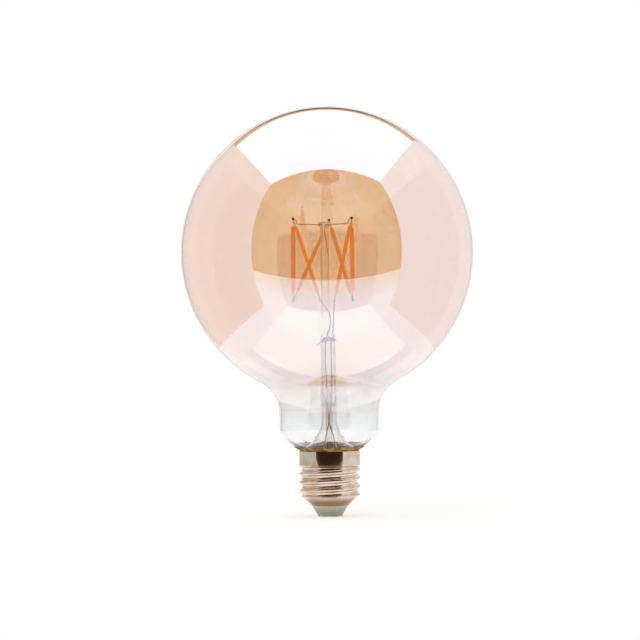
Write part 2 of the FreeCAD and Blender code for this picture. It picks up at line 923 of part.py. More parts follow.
def cap_wires():
    """The live wire up from the centre contact, and the neutral wire out to the skirt."""
    thickness = size("wire_diameter")
    radius = float(thickness) / 2
    back = radius - float(size("board_setback"))
    floor = float(cone_floor)
    # The live wire leans over above the eyelet and is soldered to the back of the board
    live_x = float(size("live_offset"))
    straight_end = floor + radius * 4
    lap_start = straight_end + radius * 4.7
    live_route = [
        vector(0, 0, size("solder_height")),
        vector(0, 0, straight_end),
        vector(live_x, back, lap_start),
        vector(live_x, back, lap_start + float(size("live_lap"))),
    ]
    # The neutral wire turns out under the glass and meets the inside of the skirt square on
    neutral_x = -float(size("neutral_offset"))
    bend_height = float(seal_bottom) - radius - float(fit)
    bore = float(skirt_radius - shell_wall)
    out = vector(neutral_x, back, 0).normalize() * math.sqrt(bore**2 - radius**2)
    neutral_route = [
        vector(neutral_x, back, floor + float(size("neutral_lift"))),
        vector(neutral_x, back, bend_height),
        vector(out.x, out.y, bend_height),
    ]
    return [
        bent_wire(name, route, thickness, size("wire_bend"))
        for name, route in (("live_wire", live_route), ("neutral_wire", neutral_route))
    ]


def build():
    beads = weld_beads()
    nodes = [glass_globe(), beads]
    wires = [support_wire(index, top, beads) for index, top in enumerate(tops.values(), start=1)]
    wires += lead_wires(beads)
    nodes += wires
    nodes.append(cut("glass_stem", stem_blank(), compound("wire_channels", wires)))
    for index, (top, bottom) in enumerate(FILAMENTS, start=1):
        nodes += filament(index, tops[top], bottoms[bottom], beads)
    nodes += [exhaust_tube(), stem_tie(), cement_ring(), cap_shell(), cap_insulator(), centre_contact()]
    nodes += [contact_solder(), *driver_pieces(), *cap_wires()]
    return nodes


nodes = build()
doc.recompute()
for item in doc.Objects:
    if {"Invalid", "Error"} & set(item.State):
        raise RuntimeError(f"{item.Name}: {item.State} {item.getStatusString()}")
os.makedirs("parts", exist_ok=True)
for node in nodes:
    if node.Shape.isNull() or not node.Shape.isValid() or not node.Shape.Solids:
        raise RuntimeError(f"{node.Label} has no valid solid")
    node.Shape.exportStep(f"parts/{node.Label}.step")
    print(f"{node.Label}: {len(node.Shape.Solids)} solids, {node.Shape.Volume:.1f} mm3")
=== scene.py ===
import logging
import math
from dataclasses import dataclass, field
from enum import Enum
from typing import Any, Iterable, Optional, Sequence

import bmesh
import bpy
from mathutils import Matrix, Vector, noise


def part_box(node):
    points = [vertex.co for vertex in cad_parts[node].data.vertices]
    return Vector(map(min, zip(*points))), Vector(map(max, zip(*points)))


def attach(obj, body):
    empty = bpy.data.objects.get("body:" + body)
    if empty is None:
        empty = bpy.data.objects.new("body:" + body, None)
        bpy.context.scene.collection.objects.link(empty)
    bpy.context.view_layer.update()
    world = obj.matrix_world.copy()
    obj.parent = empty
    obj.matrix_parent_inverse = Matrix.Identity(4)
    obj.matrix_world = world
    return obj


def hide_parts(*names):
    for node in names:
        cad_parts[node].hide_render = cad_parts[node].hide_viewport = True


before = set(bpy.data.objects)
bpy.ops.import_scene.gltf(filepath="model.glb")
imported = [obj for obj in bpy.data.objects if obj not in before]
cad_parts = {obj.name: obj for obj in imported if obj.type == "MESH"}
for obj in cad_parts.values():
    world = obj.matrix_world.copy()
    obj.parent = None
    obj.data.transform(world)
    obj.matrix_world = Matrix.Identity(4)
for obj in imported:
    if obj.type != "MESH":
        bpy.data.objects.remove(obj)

MM = 0.001
ROOT = "root"
WHITE = "#FFFFFF"
TWO_TONES = {"data_type": "RGBA"}
LOG = logging.getLogger("globe_bulb")

Tree = bpy.types.NodeTree
Node = bpy.types.Node
Socket = bpy.types.NodeSocket
Sockets = bpy.types.NodeOutputs
Material = bpy.types.Material
Mesh = bpy.types.Mesh
Piece = bpy.types.Object
Colour = tuple[float, float, float, float]


class Axis(Enum):
    """A direction on the bulb, by its index in a point: away from the camera, or upwards."""

    DEEP = 1
    UP = 2


class Ease(Enum):
    """How a value goes from one end of a range to the other: evenly, or softly at both ends."""

    EVEN = {"interpolation_type": "LINEAR"}
    SOFT = {"interpolation_type": "SMOOTHSTEP"}


def tone(code: str, share: float = 1.0) -> Colour:
    """Turn an sRGB hex colour to the linear RGBA that the shaders take.

    Args:
        code: the colour as "#RRGGBB".
        share: how much of its light is kept.

    Returns:
        Linear red, green and blue, and an alpha of one.
    """
    parts = [int(code[i : i + 2], 16) / 255 for i in (1, 3, 5)]
    linear = [p / 12.92 if p <= 0.04045 else ((p + 0.055) / 1.055) ** 2.4 for p in parts]
    return (linear[0] * share, linear[1] * share, linear[2] * share, 1.0)


def add_node(
    tree: Tree,
    kind: str,
    settings: Optional[dict[str, Any]] = None,
    inputs: Optional[dict[Any, Any]] = None,
) -> Node:
    """Add a node with its settings, and set or link its inputs.

    Args:
        tree: the tree that gets the node.
        kind: the node's type name.
        settings: attributes of the node, by name.
        inputs: by socket name or index, a value, or an output socket to link from.

    Returns:
        The new node.
    """
    node = tree.nodes.new(kind)
    for name, value in (settings or {}).items():
        setattr(node, name, value)
    for key, value in (inputs or {}).items():
        socket = node.inputs[key]
        if isinstance(value, bpy.types.NodeSocket):
            tree.links.new(value, socket)
        else:
            socket.default_value = value
    return node


def own_place(tree: Tree, axis: Axis) -> Socket:
    """Return where a point lies on its own piece along an axis, in metres."""
    own = add_node(tree, "ShaderNodeTexCoord").outputs["Object"]
    return add_node(tree, "ShaderNodeSeparateXYZ", None, {0: own}).outputs[axis.value]


@dataclass(frozen=True)
class Finish:
    """A surface finish: what every one has in common.

    A finish names its material, the record's slot and its colour, and draws its own pattern.
    A plain one is only a little cloudy, as moulded plastic, lacquer and glaze are.
    """

    name: str
    slot: str
    colour: str
    roughness: float = 0.5
    metallic: float = 0.0
    dark_share: float = 0.86
    cloud_mm: float = 0.8
    detail: float = 3.0

    def patches(
        self,
        tree: Tree,
        size_mm: float,
        span: tuple[float, float] = (0.3, 0.7),
        stretch: tuple[float, float, float] = (1, 1, 1),
    ) -> Socket:
        """Draw a cloudy pattern in the piece's own coordinates.

        Args:
            tree: the material's tree.
            size_mm: the size of one patch.
            span: the part of the noise that is drawn out to the full range.
            stretch: how the coordinates are scaled first, as under one along a rolled direction.

        Returns:
            The pattern, from nought to one.
        """
        own = add_node(tree, "ShaderNodeTexCoord").outputs["Object"]
        place = add_node(tree, "ShaderNodeMapping", None, {"Vector": own, "Scale": stretch}).outputs[0]
        grain = {"Vector": place, "Scale": 1 / (size_mm * MM), "Detail": self.detail}
        cloud = add_node(tree, "ShaderNodeTexNoise", None, grain).outputs["Fac"]
        drawn = {"Value": cloud, "From Min": span[0], "From Max": span[1]}
        return add_node(tree, "ShaderNodeMapRange", Ease.SOFT.value, drawn).outputs["Result"]

    def by_height(
        self,
        tree: Tree,
        low: float,
        high: float,
        ends: tuple[float, float] = (0.0, 1.0),
        ease: Ease = Ease.SOFT,
    ) -> Socket:
        """Draw a change between two heights on the piece.

        Args:
            tree: the material's tree.
            low: the height at which the change starts, in millimetres.
            high: the height at which it ends, in millimetres.
            ends: the value below it, and the value above it.
            ease: how the value goes from one to the other.

        Returns:
            The value at each height.
        """
        rise = {
            "Value": own_place(tree, Axis.UP),
            "From Min": low * MM,
            "From Max": high * MM,
            "To Min": ends[0],
            "To Max": ends[1],
        }
        return add_node(tree, "ShaderNodeMapRange", ease.value, rise).outputs["Result"]

    def draw(self, tree: Tree, shader: Node) -> None:
        """Draw the finish's own pattern.

        Args:
            tree: the material's tree.
            shader: the shader that it is drawn on.
        """
        cloud = self.patches(tree, self.cloud_mm)
        shades = {0: cloud, 6: tone(self.colour, self.dark_share), 7: tone(self.colour)}
        mixed = add_node(tree, "ShaderNodeMix", TWO_TONES, shades)
        tree.links.new(mixed.outputs[2], shader.inputs["Base Color"])

    def shader(self, tree: Tree) -> Node:
        """Add the finish's shader to a tree, with its pattern drawn.

        Args:
            tree: the material's tree.

        Returns:
            The shader.
        """
        values = {"Base Color": tone(self.colour), "Roughness": self.roughness, "Metallic": self.metallic}
        made = add_node(tree, "ShaderNodeBsdfPrincipled", None, values)
        self.draw(tree, made)
        return made

    def material(self) -> Material:
        """Build the finish's material, once.

        Returns:
            The material, which is the same one each time.
        """
        known = bpy.data.materials.get(self.name)
        if known is not None:
            return known
        made = bpy.data.materials.new(self.name)
        made.use_nodes = True
        tree = made.node_tree
        tree.nodes.clear()
        add_node(tree, "ShaderNodeOutputMaterial", None, {"Surface": self.shader(tree).outputs[0]})
        return made


@dataclass(frozen=True)
class CoatedGlass(Finish):
    """Blown soda-lime glass with a thin oxide coat.

    The coat mirrors blue more than red, so light that comes through is gold and what it
    mirrors is cool. Its index stands for the coat's, which mirrors far more than bare glass.
    """

    mirror: str = "#86C6FF"
    index: float = 4.1

    def draw(self, tree: Tree, shader: Node) -> None:
        """Set what is the same all over the coated glass.

        Args:
            tree: the material's tree; not used.
            shader: the glass's shader.
        """
        shader.inputs["Transmission Weight"].default_value = 1.0
        shader.inputs["IOR"].default_value = self.index
        shader.inputs["Specular Tint"].default_value = tone(self.mirror)


@dataclass(frozen=True)
class DrawnGlass(Finish):
    """Clear drawn glass, of which the stem and the exhaust tube are made.

    Its edges are painted darker, as painted shade, where the eye looks along the wall.
    The flare is thin, so it gets less of this painted shade than the stem above it.
    """

    index: float = 1.4
    # The tone of the painted shade on the glass's edges
    edge: str = "#B88A62"
    flare_shade_blend: float = 0.05
    stem_shade_blend: float = 0.26
    flare_height: float = 38.0
    stem_height: float = 52.0
    line_mm: float = 2.5
    line_stretch: float = 0.05
    line_depth: float = 0.05
    line_strength: float = 0.25

    def draw(self, tree: Tree, shader: Node) -> None:
        """Paint shade on the glass where it is seen edge on, and run faint draw lines along it.

        Args:
            tree: the material's tree.
            shader: the glass's shader.
        """
        shader.inputs["Transmission Weight"].default_value = 1.0
        shader.inputs["IOR"].default_value = self.index
        # Painted shade: the glass's colour darkens where it is seen edge on
        ends = (self.flare_shade_blend, self.stem_shade_blend)
        blend = self.by_height(tree, self.flare_height, self.stem_height, ends, Ease.EVEN)
        facing = add_node(tree, "ShaderNodeLayerWeight", None, {"Blend": blend}).outputs["Facing"]
        shades = {0: facing, 6: tone(self.colour), 7: tone(self.edge)}
        mixed = add_node(tree, "ShaderNodeMix", TWO_TONES, shades)
        tree.links.new(mixed.outputs[2], shader.inputs["Base Color"])
        lines = self.patches(tree, self.line_mm, stretch=(1, 1, self.line_stretch))
        bump = {"Height": lines, "Distance": self.line_depth * MM, "Strength": self.line_strength}
        tree.links.new(add_node(tree, "ShaderNodeBump", None, bump).outputs[0], shader.inputs["Normal"])


@dataclass(frozen=True)
class NeckGlass(Finish):
    """The same blown glass at the neck, where the coat thins out to nothing above the cap.

    The neck was heated to seal the stem in, so it is clear below and gold from the shoulder up.
    """

    index: float = 1.5
    bare_height: float = 38.0
    full_height: float = 66.0

    def shader(self, tree: Tree) -> Node:
        """Mix bare glass with the coated glass by height.

        Args:
            tree: the material's tree.

        Returns:
            The shader that mixes the two.
        """
        bare = {
            "Base Color": tone(self.colour),
            "Roughness": self.roughness,
            "Transmission Weight": 1.0,
            "IOR": self.index,
        }
        clear = add_node(tree, "ShaderNodeBsdfPrincipled", None, bare)
        coated = Finishes.GOLD_GLASS.value.shader(tree)
        share = self.by_height(tree, self.bare_height, self.full_height)
        both = {0: share, 1: clear.outputs[0], 2: coated.outputs[0]}
        return add_node(tree, "ShaderNodeMixShader", None, both)


@dataclass(frozen=True)
class PhosphorSilicone(Finish):
    """Silicone filled with orange phosphor over a row of chips: matte, and paler over each chip."""

    chip_tone: str = "#F9B878"
    chip_pitch: float = 1.05
    grain_mm: float = 0.35
    grain_depth: float = 0.03
    grain_strength: float = 0.4
    gloss: float = 0.3

    def draw(self, tree: Tree, shader: Node) -> None:
        """Draw the row of chips under the coat, and its grain.

        Args:
            tree: the material's tree.
            shader: the silicone's shader.
        """
        turn = {0: own_place(tree, Axis.UP), 1: 2 * math.pi / (self.chip_pitch * MM)}
        wave = add_node(tree, "ShaderNodeMath", {"operation": "MULTIPLY"}, turn).outputs[0]
        chips = add_node(tree, "ShaderNodeMath", {"operation": "SINE"}, {0: wave}).outputs[0]
        grain = self.patches(tree, self.grain_mm)
        clamped = {"operation": "MULTIPLY", "use_clamp": True}
        shown = add_node(tree, "ShaderNodeMath", clamped, {0: chips, 1: grain})
        shades = {0: shown.outputs[0], 6: tone(self.colour), 7: tone(self.chip_tone)}
        mixed = add_node(tree, "ShaderNodeMix", TWO_TONES, shades)
        tree.links.new(mixed.outputs[2], shader.inputs["Base Color"])
        shader.inputs["Specular IOR Level"].default_value = self.gloss
        bump = {"Height": grain, "Distance": self.grain_depth * MM, "Strength": self.grain_strength}
        tree.links.new(add_node(tree, "ShaderNodeBump", None, bump).outputs[0], shader.inputs["Normal"])


@dataclass(frozen=True)
class DullMetal(Finish):
    """Metal that was drawn or melted and then heated: satin, with darker patches where it oxidised."""

    heated: str = "#8F8578"
    patch_mm: float = 2.2
    patch_span: tuple[float, float] = (0.42, 0.66)
    dulled: float = 0.2

    def draw(self, tree: Tree, shader: Node) -> None:
        """Darken the metal in patches and dull its gloss with them.

        Args:
            tree: the material's tree.
            shader: the metal's shader.
        """
        patch = self.patches(tree, self.patch_mm, self.patch_span)
        shades = {0: patch, 6: tone(self.colour), 7: tone(self.heated)}
        mixed = add_node(tree, "ShaderNodeMix", TWO_TONES, shades)
        tree.links.new(mixed.outputs[2], shader.inputs["Base Color"])
        gloss = {"Value": patch, "To Min": self.roughness, "To Max": self.roughness + self.dulled}
        satin = add_node(tree, "ShaderNodeMapRange", None, gloss).outputs["Result"]
        tree.links.new(satin, shader.inputs["Roughness"])


@dataclass(frozen=True)
class MeltedWeld(Finish):
    """Beads of melted wire: straw bright low down, and black at the top, where the heat was."""

    sooted: str = "#3A2A1C"
    sooted_above: float = 105.0

    def draw(self, tree: Tree, shader: Node) -> None:
        """Blacken the beads above a height.

        Args:
            tree: the material's tree.
            shader: the beads' shader.
        """
        test = {0: own_place(tree, Axis.UP), 1: self.sooted_above * MM}
        top = add_node(tree, "ShaderNodeMath", {"operation": "GREATER_THAN"}, test).outputs[0]
        shades = {0: top, 6: tone(self.colour), 7: tone(self.sooted)}
        mixed = add_node(tree, "ShaderNodeMix", TWO_TONES, shades)
        tree.links.new(mixed.outputs[2], shader.inputs["Base Color"])


@dataclass(frozen=True)
class NickelPlate(Finish):
    """Bright nickel plate on thin sheet, deep drawn and rolled to its thread.

    The rollers leave fine rings round it, so what it mirrors is crisp sideways and a little
    soft up and down, and the thin plate has a warm cast. The cone is browner and darker towards the bottom.
    """

    warm: str = "#D9C0A8"
    # The browner, darker tone of the cone towards the bottom
    tempered: str = "#A07F63"
    browner_below: float = 6.2
    browner_fade: float = 2.6
    patch_mm: float = 6.0
    ring_mm: float = 0.25
    ring_stretch: float = 0.02
    ring_depth: float = 0.002
    ring_strength: float = 0.05
    ring_gloss: tuple[float, float] = (0.6, 1.4)

    def draw(self, tree: Tree, shader: Node) -> None:
        """Draw the rollers' rings, the warm cast of thin plate, and the browner, darker bottom of the cone.

        Args:
            tree: the material's tree.
            shader: the plate's shader.
        """
        shades = {0: self.patches(tree, self.patch_mm), 6: tone(self.colour), 7: tone(self.warm)}
        plate = add_node(tree, "ShaderNodeMix", TWO_TONES, shades).outputs[2]
        # Below this height the cone turns browner and darker
        cool = self.by_height(tree, self.browner_below, self.browner_below + self.browner_fade)
        mixed = add_node(tree, "ShaderNodeMix", TWO_TONES, {0: cool, 6: tone(self.tempered), 7: plate})
        tree.links.new(mixed.outputs[2], shader.inputs["Base Color"])
        rings = self.patches(tree, self.ring_mm, stretch=(self.ring_stretch, self.ring_stretch, 1))
        crisp, soft = self.ring_gloss
        gloss = {"Value": rings, "To Min": self.roughness * crisp, "To Max": self.roughness * soft}
        sheen = add_node(tree, "ShaderNodeMapRange", None, gloss).outputs["Result"]
        tree.links.new(sheen, shader.inputs["Roughness"])
        bump = {"Height": rings, "Distance": self.ring_depth * MM, "Strength": self.ring_strength}
        tree.links.new(add_node(tree, "ShaderNodeBump", None, bump).outputs[0], shader.inputs["Normal"])


@dataclass(frozen=True)
class BakedCement(Finish):
    """Capping cement baked hard: coarse and matte, olive, and browner where it is thin."""

    burnt: str = "#876B3C"
    patch_mm: float = 2.4
    patch_span: tuple[float, float] = (0.38, 0.62)
    grain_mm: float = 0.4
    grain_depth: float = 0.15
    grain_strength: float = 0.6

    def draw(self, tree: Tree, shader: Node) -> None:
        """Draw grains and burnt patches.

        Args:
            tree: the material's tree.
            shader: the cement's shader.
        """
        patch = self.patches(tree, self.patch_mm, self.patch_span)
        shades = {0: patch, 6: tone(self.colour), 7: tone(self.burnt)}
        mixed = add_node(tree, "ShaderNodeMix", TWO_TONES, shades)
        tree.links.new(mixed.outputs[2], shader.inputs["Base Color"])
        grain = self.patches(tree, self.grain_mm)
        bump = {"Height": grain, "Distance": self.grain_depth * MM, "Strength": self.grain_strength}
        tree.links.new(add_node(tree, "ShaderNodeBump", None, bump).outputs[0], shader.inputs["Normal"])


@dataclass(frozen=True)
class MouldedInsulator(Finish):
    """Moulded grey-green insulator with a satin skin, darkened towards the contact by painted shade."""

    painted_shade_tone: str = "#B7BBA4"
    low: float = 1.0
    high: float = 4.6
    lit_share: float = 0.85
    mottle_mm: float = 1.5
    mottle_share: float = 0.15
    skin: float = 0.3
    skin_roughness: float = 0.2

    def draw(self, tree: Tree, shader: Node) -> None:
        """Paint shade on the cone downwards, and mottle it.

        Args:
            tree: the material's tree.
            shader: the insulator's shader.
        """
        # Painted shade: the cone's colour darkens towards the contact, under its mottle
        lit = self.by_height(tree, self.low, self.high, (0.0, self.lit_share))
        blotch = {0: self.patches(tree, self.mottle_mm), 1: self.mottle_share, 2: lit}
        share = add_node(tree, "ShaderNodeMath", {"operation": "MULTIPLY_ADD"}, blotch).outputs[0]
        shades = {0: share, 6: tone(self.painted_shade_tone), 7: tone(self.colour)}
        mixed = add_node(tree, "ShaderNodeMix", TWO_TONES, shades)
        tree.links.new(mixed.outputs[2], shader.inputs["Base Color"])
        shader.inputs["Coat Weight"].default_value = self.skin
        shader.inputs["Coat Roughness"].default_value = self.skin_roughness


class Finishes(Enum):
    """Every finish on the bulb, by the material that the real piece has."""

    # Blown glass, coated inside: mirror smooth, and gold to look through
    GOLD_GLASS = CoatedGlass("gold_coated_glass", "gold_glass", "#FCF4F3", 0.0)
    # The same glass, sealed in a flame: smooth, and without colour just above the cap
    NECK_GLASS = NeckGlass("neck_glass", "gold_glass", "#FAFBFB", 0.0)
    # Drawn tube, flared and pinched hot: clear, with painted shade on its edges
    STEM_GLASS = DrawnGlass("drawn_clear_glass", "clear_glass", "#FAFBFB", 0.0)
    # Silicone that a strip was dipped in: matte orange, with no sharp highlight
    PHOSPHOR = PhosphorSilicone("phosphor_silicone", "phosphor", "#F6AF68", 0.6)
    # Drawn wire with an oxide skin from the heat: straw, and only half a mirror
    WIRE = DullMetal("straw_tempered_wire", "nickel_wire", "#D3B878", 0.4, 0.4, heated="#A07E48")
    # Copper drawn over a core and oxidised in the seal: matte copper brown
    LEAD = DullMetal("copper_clad_lead_wire", "nickel_wire", "#D9995F", 0.5, 0.0, heated="#9C6B45")
    # Wire ends melted to beads: a dull straw, black where soot lies on them
    BEAD = MeltedWeld("melted_weld", "nickel_wire", "#D9B07C", 0.4, 0.2)
    # Sheet that was drawn, rolled and plated: the brightest mirror on the bulb
    PLATE = NickelPlate("nickel_plated_sheet", "nickel_plate", "#EDE0D4", 0.05, 1.0)
    # Cement paste, pressed in and baked: rough, with no shine at all
    CEMENT = BakedCement("baked_capping_cement", "cement", "#CDB074", 0.9)
    # Pressed in a mould and fired: pale grey-green under a satin skin, with painted shade towards the
    # contact
    INSULATOR = MouldedInsulator("moulded_insulator", "insulator", "#E3E1CC", 0.4)
    # Pressed brass, tinned: a pale straw metal with a soft shine
    CONTACT = DullMetal("tinned_brass", "contact_metal", "#C9B890", 0.3, 1.0, heated="#A8966F")
    # Solder set from the melt: a soft grey shine
    SOLDER = DullMetal("tin_solder", "solder", "#C4C4C0", 0.35, 1.0, heated="#A2A29E")
    # Laminate pressed and lacquered: deep green with a low gloss
    BOARD = Finish("glass_fibre_laminate", "circuit_board", "#2F6B45", 0.35)
    # Plastic tube shrunk with heat: tight, near black and glossy
    SLEEVE = Finish("shrunk_plastic_sleeve", "capacitor_sleeve", "#23262B", 0.3)
    # Epoxy moulded round a chip: black and matte
    CHIP = Finish("moulded_epoxy", "chip_plastic", "#1E1E20", 0.6)
    # A coat that the resistor was dipped in: dull green
    RESISTOR = Finish("dipped_cement_coat", "resistor_coat", "#4E7F6E", 0.7)
    # Ceramic with a fired glaze: near black, with a small sharp highlight
    CERAMIC = Finish("glazed_chip_ceramic", "resistor_ceramic", "#2B2B2E", 0.3)
    # Soft plastic extruded over a wire: off-white with a low gloss
    CABLE = Finish("plastic_wire_sleeve", "wire_sleeve", "#D9D6CF", 0.5)


def dress(piece: Piece, finish: Finishes) -> None:
    """Give a piece one finish all over.

    Args:
        piece: the piece, new or carried from the frame.
        finish: what it is made of.
    """
    made = finish.value.material()
    slots = piece.data.materials
    for index in range(len(slots)):
        slots[index] = made
    if not slots:
        slots.append(made)


def link_piece(name: str, mesh: Mesh) -> Piece:
    """Put a mesh in the scene as an object at the origin.

    Args:
        name: the object's name.
        mesh: its mesh.

    Returns:
        The object.
    """
    made = bpy.data.objects.new(name, mesh)
    bpy.context.scene.collection.objects.link(made)
    return made


def polyline(name: str, points: Sequence[Sequence[float]]) -> Mesh:
    """Join points in order with edges, for a geometry tree to start from.

    Args:
        name: the mesh's name.
        points: the points, in metres.

    Returns:
        The mesh of edges.
    """
    made = bpy.data.meshes.new(name)
    made.from_pydata([tuple(p) for p in points], [(i, i + 1) for i in range(len(points) - 1)], [])
    return made


def open_tree(name: str, sizes: dict[str, str]) -> tuple[Tree, Sockets]:
    """Start a geometry tree with named inputs.

    Args:
        name: the tree's name.
        sizes: the socket type of each input, by the input's name.

    Returns:
        The tree, and its inputs by name.
    """
    tree = bpy.data.node_groups.new(name, "GeometryNodeTree")
    tree.interface.new_socket("Start", in_out="INPUT", socket_type="NodeSocketGeometry")
    tree.interface.new_socket("Made", in_out="OUTPUT", socket_type="NodeSocketGeometry")
    for title, kind in sizes.items():
        tree.interface.new_socket(title, in_out="INPUT", socket_type=kind)
    return tree, add_node(tree, "NodeGroupInput").outputs


def close_tree(tree: Tree, skin: Node, finish: Socket) -> Node:
    """End a geometry tree: shade its skin smooth, make it real and give it its material.

    Args:
        tree: the tree.
        skin: the node that makes the skin.
        finish: the input that holds the material.

    Returns:
        The last node, whose output is the finished geometry.
    """
    smooth = add_node(tree, "GeometryNodeSetShadeSmooth", None, {"Geometry": skin.outputs[0]})
    real = add_node(tree, "GeometryNodeRealizeInstances", None, {0: smooth.outputs[0]})
    dressed = {"Geometry": real.outputs[0], "Material": finish}
    return add_node(tree, "GeometryNodeSetMaterial", None, dressed)


def grow(name: str, start: Mesh, tree: Tree, sizes: dict[str, Any]) -> Piece:
    """Run a geometry tree on a starting mesh, and keep what it makes as a plain mesh.

    Args:
        name: the finished piece's name.
        start: the mesh that the tree starts from.
        tree: the tree.
        sizes: a value for each of the tree's named inputs.

    Returns:
        The finished piece, at the origin and with its faces outward.
    """
    carrier = link_piece(f"{name}_start", start)
    making = carrier.modifiers.new("making", "NODES")
    making.node_group = tree
    for item in tree.interface.items_tree:
        if item.name in sizes:
            making[item.identifier] = sizes[item.name]
    seen = carrier.evaluated_get(bpy.context.evaluated_depsgraph_get())
    made = bpy.data.meshes.new_from_object(seen)
    carrier.modifiers.remove(making)
    bpy.data.objects.remove(carrier)
    made.name = name
    turned = bmesh.new()
    turned.from_mesh(made)
    bmesh.ops.recalc_face_normals(turned, faces=turned.faces)
    turned.to_mesh(made)
    turned.free()
    return link_piece(name, made)


def settle(piece: Piece, stands_for: Sequence[str] = ()) -> None:
    """Make a new piece ride on the bulb, hide the frame's nodes that it stands for, and log its faces.

    Args:
        piece: the finished piece.
        stands_for: the frame's nodes that it replaces.
    """
    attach(piece, ROOT)
    if stands_for:
        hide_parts(*stands_for)
    LOG.info("%s: %d faces", piece.name, len(piece.data.polygons))


def arc_points(
    centre: tuple[float, float], radius: float, start: float, end: float, steps: int
) -> list[tuple[float, float]]:
    """Place points along an arc in a half section.

    Args:
        centre: the arc's centre as (radius, height), in metres.
        radius: its radius, in metres.
        start: the angle that it starts at, in radians from the outward direction.
        end: the angle that it ends at.
        steps: how many runs it has.

    Returns:
        The points, as (radius, height).
    """
    angles = [start + (end - start) * i / steps for i in range(steps + 1)]
    return [(centre[0] + radius * math.cos(a), centre[1] + radius * math.sin(a)) for a in angles]


@dataclass
class GlassGlobe:
    """The blown globe with its shoulder, neck and mouth, as two walls that meet at the mouth."""

    wall: float = 0.8 * MM
    shoulder: float = 15.0 * MM
    neck_diameter: float = 42.4 * MM
    foot: float = 5.5 * MM
    taper_rise: float = 4.8 * MM
    taper_run: float = 5.1 * MM
    lip_rise: float = 1.15 * MM
    lip_run: float = 2.2 * MM
    mouth_diameter: float = 24.8 * MM
    lip_height: float = 28.35 * MM
    coat_height: float = 75.0 * MM
    spindle: float = 0.5 * MM
    joined: float = 0.001 * MM
    around: int = 192
    foot_steps: int = 10
    shoulder_steps: int = 20
    ball_steps: int = 110
    low: Vector = field(init=False)
    high: Vector = field(init=False)

    def __post_init__(self) -> None:
        """Read the glass node's box from the frame."""
        self.low, self.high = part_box("glass_globe")

    def section(self, inset: float) -> list[tuple[float, float]]:
        """Draw the half section from the mouth to the top.

        Args:
            inset: how far inside the outer face it runs, in metres.

        Returns:
            Its points, as (radius, height).
        """
        radius = (self.high.x - self.low.x) / 2
        centre = self.high.z - radius
        ball = radius - inset
        shoulder = self.shoulder + inset
        neck = self.neck_diameter / 2 - inset
        foot = self.foot - inset
        slope = math.hypot(self.taper_rise, self.taper_run)
        taper = math.asin(self.taper_rise / slope)
        mouth = self.mouth_diameter / 2
        shoulder_r = neck + shoulder
        shoulder_z = centre - math.sqrt((ball + shoulder) ** 2 - shoulder_r**2)
        meet = math.atan2(centre - shoulder_z, -shoulder_r)
        lip_r = mouth + self.lip_run - inset * math.sin(taper)
        lip_z = self.lip_height + self.lip_rise + inset * math.cos(taper)
        foot_r = neck - foot * (1 - math.sin(taper))
        foot_z = lip_z + (foot_r - lip_r) * self.taper_rise / self.taper_run
        foot_centre = (neck - foot, foot_z + foot * math.cos(taper))
        line = [
            (mouth - inset, self.low.z),
            (mouth - inset, self.lip_height + inset),
            (lip_r, lip_z),
        ]
        line += arc_points(foot_centre, foot, taper - math.pi / 2, 0.0, self.foot_steps)
        line += arc_points((shoulder_r, shoulder_z), shoulder, math.pi, meet, self.shoulder_steps)
        line += arc_points((0.0, centre), ball, meet - math.pi, math.pi / 2, self.ball_steps)[1:]
        return line

    def lathe(self) -> Tree:
        """Make the tree that turns an open profile round the axis.

        The profile runs round a thin spindle, and its two ends close into poles on the axis.

        Returns:
            The tree.
        """
        tree, given = open_tree(
            "glass_lathe",
            {
                "Around": "NodeSocketInt",
                "Spindle": "NodeSocketFloat",
                "Joined": "NodeSocketFloat",
                "Coat Height": "NodeSocketFloat",
                "Coated": "NodeSocketMaterial",
                "Neck": "NodeSocketMaterial",
            },
        )
        profile = add_node(tree, "GeometryNodeMeshToCurve", None, {0: given["Start"]})
        ring = {"Resolution": given["Around"], "Radius": given["Spindle"]}
        axis = add_node(tree, "GeometryNodeCurvePrimitiveCircle", None, ring)
        upright = add_node(tree, "GeometryNodeSetCurveNormal", {"mode": "Z_UP"}, {"Curve": axis.outputs[0]})
        swept = {"Curve": upright.outputs[0], "Profile Curve": profile.outputs[0]}
        turned = add_node(tree, "GeometryNodeCurveToMesh", None, swept)
        seams = {"Geometry": turned.outputs[0], "Distance": given["Joined"]}
        closed = add_node(tree, "GeometryNodeMergeByDistance", None, seams)
        coated = close_tree(tree, closed, given["Coated"])
        place = add_node(tree, "GeometryNodeInputPosition").outputs[0]
        height = add_node(tree, "ShaderNodeSeparateXYZ", None, {0: place}).outputs[Axis.UP.value]
        test = {0: height, 1: given["Coat Height"]}
        below = add_node(tree, "FunctionNodeCompare", {"operation": "LESS_THAN"}, test)
        neck = {"Geometry": coated.outputs[0], "Selection": below.outputs[0], "Material": given["Neck"]}
        both = add_node(tree, "GeometryNodeSetMaterial", None, neck)
        add_node(tree, "NodeGroupOutput", None, {0: both.outputs[0]})
        return tree

    def build(self) -> None:
        """Turn the two walls as one skin, and replace the frame's globe."""
        # From the outer pole down to the mouth and up inside to the inner pole
        line = list(reversed(self.section(0.0))) + self.section(self.wall)
        profile = polyline("globe_profile", [(r - self.spindle, -z, 0.0) for r, z in line])
        sizes = {
            "Around": self.around,
            "Spindle": self.spindle,
            "Joined": self.joined,
            "Coat Height": self.coat_height,
            "Coated": Finishes.GOLD_GLASS.value.material(),
            "Neck": Finishes.NECK_GLASS.value.material(),
        }
        piece = grow("globe_glass", profile, self.lathe(), sizes)
        settle(piece, ["glass_globe"])


